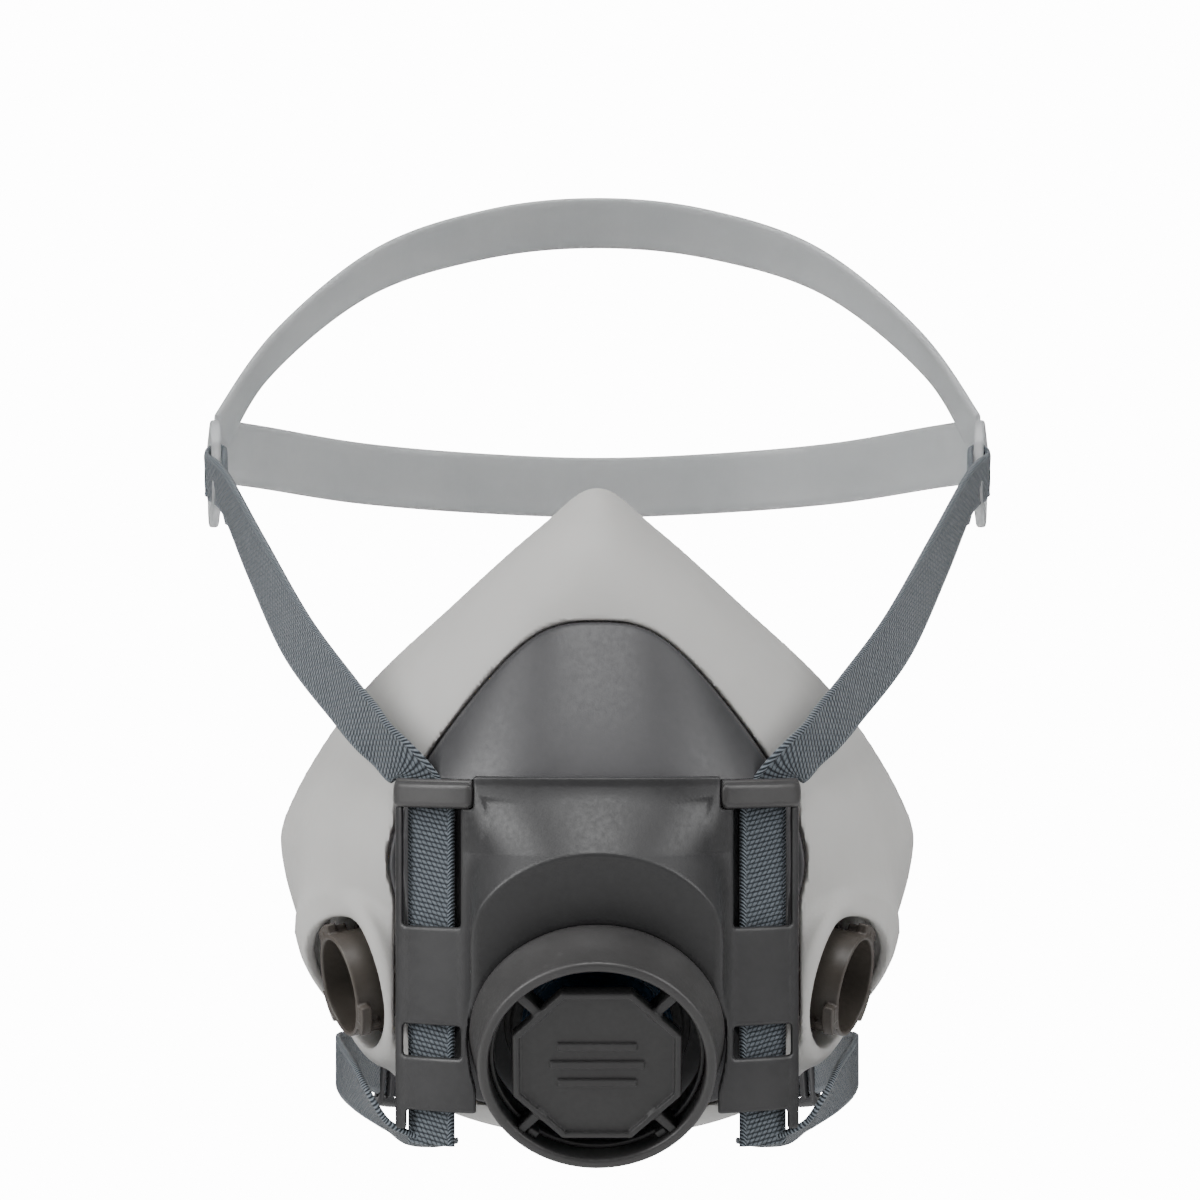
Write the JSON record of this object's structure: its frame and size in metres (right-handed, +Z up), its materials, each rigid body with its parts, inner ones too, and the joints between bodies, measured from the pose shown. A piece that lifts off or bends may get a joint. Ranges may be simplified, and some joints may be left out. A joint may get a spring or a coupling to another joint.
{
  "type": "half mask respirator",
  "caption": "Reusable half mask: soft facepiece, rigid shell and yoke, bayonet filter ports, front exhalation valve, webbing straps, head cradle and neck clip.",
  "frame": {"origin": "middle of the face seal, where the mask meets the face at the height of the mouth", "axes": "+Z up, the mask faces -Y, +X to the right of a viewer who looks along +Y at its front"},
  "size_m": [0.1822, 0.2553, 0.2223],
  "materials": {
    "elastomer": "matte",
    "shell_plastic": "satin",
    "yoke_plastic": "satin",
    "grille_plastic": "satin",
    "valve_plastic": "satin",
    "valve_rubber": "satin",
    "port_plastic": "satin",
    "gasket_rubber": "matte",
    "flap_rubber": "satin",
    "keeper_plastic": "satin",
    "webbing": "woven",
    "cradle_plastic": "translucent satin",
    "clip_plastic": "satin"
  },
  "bodies": {
    "mask": {"facepiece": "elastomer", "inner_shell": "shell_plastic", "yoke": "yoke_plastic", "valve_shroud": "yoke_plastic", "valve_grille": "grille_plastic", "exhale_seat": "valve_plastic", "port_left": "port_plastic", "port_right": "port_plastic", "port_lock_ring_left": "port_plastic", "port_lock_ring_right": "port_plastic", "port_gasket_left": "gasket_rubber", "port_gasket_right": "gasket_rubber", "strap_keeper_left": "keeper_plastic", "strap_keeper_right": "keeper_plastic", "guide_strap_left": "webbing", "guide_strap_right": "webbing"},
    "exhale_flap_body": {"exhale_flap": "valve_rubber"},
    "inhale_flap_left_body": {"inhale_flap_left": "flap_rubber"},
    "inhale_flap_right_body": {"inhale_flap_right": "flap_rubber"},
    "harness": {"upper_strap_left": "webbing", "upper_strap_right": "webbing"},
    "cradle": {"strap_fold_left": "webbing", "strap_fold_right": "webbing", "head_cradle": "cradle_plastic"},
    "neck_left": {"neck_strap_left": "webbing", "neck_adjuster_left": "clip_plastic", "neck_hook": "clip_plastic"},
    "neck_right": {"neck_strap_right": "webbing", "neck_adjuster_right": "clip_plastic", "neck_loop": "clip_plastic"}
  },
  "joints": [
    {"name": "exhale_lift", "type": "slide", "parent": "mask", "child": "exhale_flap_body", "axis": [0, -0.8988, -0.4384], "range_m": [0, 0.0015]},
    {"name": "inhale_lift_left", "type": "slide", "parent": "mask", "child": "inhale_flap_left_body", "axis": [0.9144, 0.3473, 0.2079], "range_m": [0, 0.0015]},
    {"name": "inhale_lift_right", "type": "slide", "parent": "mask", "child": "inhale_flap_right_body", "axis": [-0.9144, 0.3473, 0.2079], "range_m": [0, 0.0015]},
    {"name": "harness_swing", "type": "hinge", "parent": "mask", "child": "harness", "pos_m": [0, -0.052, 0.008], "axis": [1, 0, 0], "range_deg": [0, 30]},
    {"name": "cradle_tilt", "type": "hinge", "parent": "harness", "child": "cradle", "pos_m": [0, 0.0717, 0.0705], "axis": [1, 0, 0], "range_deg": [-15, 15]},
    {"name": "neck_swing_left", "type": "hinge", "parent": "mask", "child": "neck_left", "pos_m": [-0.0425, -0.046, -0.059], "axis": [0, 0, 1], "range_deg": [0, 35]},
    {"name": "neck_swing_right", "type": "hinge", "parent": "mask", "child": "neck_right", "pos_m": [0.0425, -0.046, -0.059], "axis": [0, 0, -1], "range_deg": [0, 35]}
  ]
}
